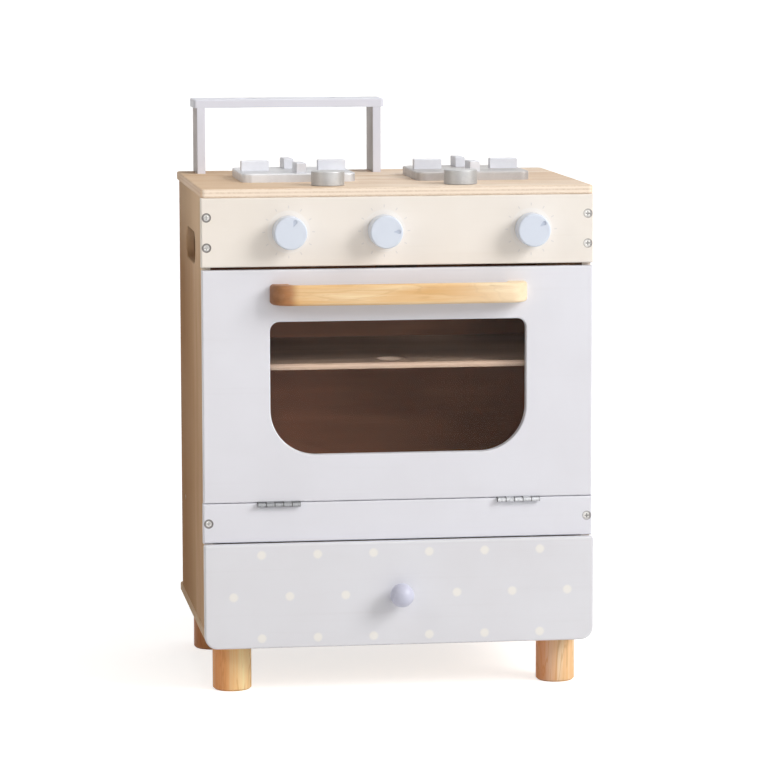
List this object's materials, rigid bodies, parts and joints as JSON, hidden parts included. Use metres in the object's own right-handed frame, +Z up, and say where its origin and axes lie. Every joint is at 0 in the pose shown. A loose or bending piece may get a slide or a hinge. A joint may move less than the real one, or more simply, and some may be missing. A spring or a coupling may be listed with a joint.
{
  "type": "toy oven",
  "caption": "Wooden play oven cabinet on short legs with a drop-down window door, a drawer, turning knobs and dials, hob plates and a small utensil rack.",
  "frame": {"origin": "on the floor, under the middle of the whole object's bounding box", "axes": "+Z up, front with the door towards -Y, +X to the right as seen from the front"},
  "size_m": [0.4, 0.335, 0.595],
  "materials": {
    "natural_plywood": "satin clear lacquer",
    "interior_plywood": "bare sanded",
    "pine": "satin clear lacquer",
    "cream_paint": "satin paint on plywood",
    "white_paint": "satin paint on plywood",
    "dotted_paint": "satin paint on plywood with cream dots",
    "pale_blue_paint": "satin paint on turned wood",
    "silver_paint": "silver paint on wood",
    "lavender_paint": "satin paint on plywood",
    "clear_pane": "clear acrylic",
    "zinc_steel": "zinc plated",
    "magnet_nickel": "nickel plated",
    "beech": "bare"
  },
  "bodies": {
    "cabinet": {"base_board": "natural_plywood", "leg_front_left": "pine", "leg_front_right": "pine", "leg_back_left": "pine", "leg_back_right": "pine", "side_panel_left": "natural_plywood", "side_panel_right": "natural_plywood", "worktop": "natural_plywood", "back_panel": "interior_plywood", "oven_floor": "interior_plywood", "control_panel": "cream_paint", "lower_rail": "white_paint", "oven_shelf": "interior_plywood", "shelf_battens": "beech", "rack_upright_left": "lavender_paint", "rack_upright_right": "lavender_paint", "rack_top_board": "lavender_paint", "hob_plate_left": "silver_paint", "hob_plate_right": "silver_paint", "hob_supports_left": "silver_paint", "hob_supports_right": "silver_paint", "hinge_leaves_rail": "zinc_steel", "hinge_pins": "zinc_steel", "hinge_screws_rail": "zinc_steel", "catch_block": "beech", "catch_magnet": "magnet_nickel", "drawer_runner_left": "beech", "drawer_runner_right": "beech", "cabinet_screws": "zinc_steel", "small_screws": "zinc_steel", "leg_screws": "zinc_steel", "dowels": "beech"},
    "door": {"door_panel": "white_paint", "door_pane": "clear_pane", "door_handle": "pine", "hinge_leaves_door": "zinc_steel", "hinge_screws_door": "zinc_steel", "pane_screws": "zinc_steel", "handle_screws": "zinc_steel", "strike_plate": "zinc_steel"},
    "drawer": {"drawer_front": "dotted_paint", "drawer_side_left": "interior_plywood", "drawer_side_right": "interior_plywood", "drawer_back": "interior_plywood", "drawer_bottom": "interior_plywood", "drawer_knob": "pale_blue_paint", "drawer_knob_screw": "zinc_steel", "drawer_box_screws": "zinc_steel", "drawer_dowels": "beech"},
    "knob_left": {"control_knob_left": "pale_blue_paint", "knob_spindle_left": "zinc_steel"},
    "knob_middle": {"control_knob_middle": "pale_blue_paint", "knob_spindle_middle": "zinc_steel"},
    "knob_right": {"control_knob_right": "pale_blue_paint", "knob_spindle_right": "zinc_steel"},
    "dial_left": {"hob_dial_left": "silver_paint", "dial_spindle_left": "zinc_steel"},
    "dial_right": {"hob_dial_right": "silver_paint", "dial_spindle_right": "zinc_steel"}
  },
  "joints": [
    {"name": "door_hinge", "type": "hinge", "parent": "cabinet", "child": "door", "pos_m": [0, -0.1356, 0.1954], "axis": [1, 0, 0], "range_deg": [0, 90]},
    {"name": "drawer_slide", "type": "slide", "parent": "cabinet", "child": "drawer", "axis": [0, -1, 0], "range_m": [0, 0.18]},
    {"name": "knob_turn_left", "type": "hinge", "parent": "cabinet", "child": "knob_left", "pos_m": [-0.1115, -0.1328, 0.472], "axis": [0, -1, 0], "continuous": true},
    {"name": "knob_turn_middle", "type": "hinge", "parent": "cabinet", "child": "knob_middle", "pos_m": [-0.0145, -0.1328, 0.472], "axis": [0, -1, 0], "continuous": true},
    {"name": "knob_turn_right", "type": "hinge", "parent": "cabinet", "child": "knob_right", "pos_m": [0.136, -0.1328, 0.472], "axis": [0, -1, 0], "continuous": true},
    {"name": "dial_turn_left", "type": "hinge", "parent": "cabinet", "child": "dial_left", "pos_m": [-0.067, -0.0935, 0.5163], "axis": [0, 0, 1], "continuous": true},
    {"name": "dial_turn_right", "type": "hinge", "parent": "cabinet", "child": "dial_right", "pos_m": [0.0695, -0.0935, 0.5163], "axis": [0, 0, 1], "continuous": true}
  ]
}
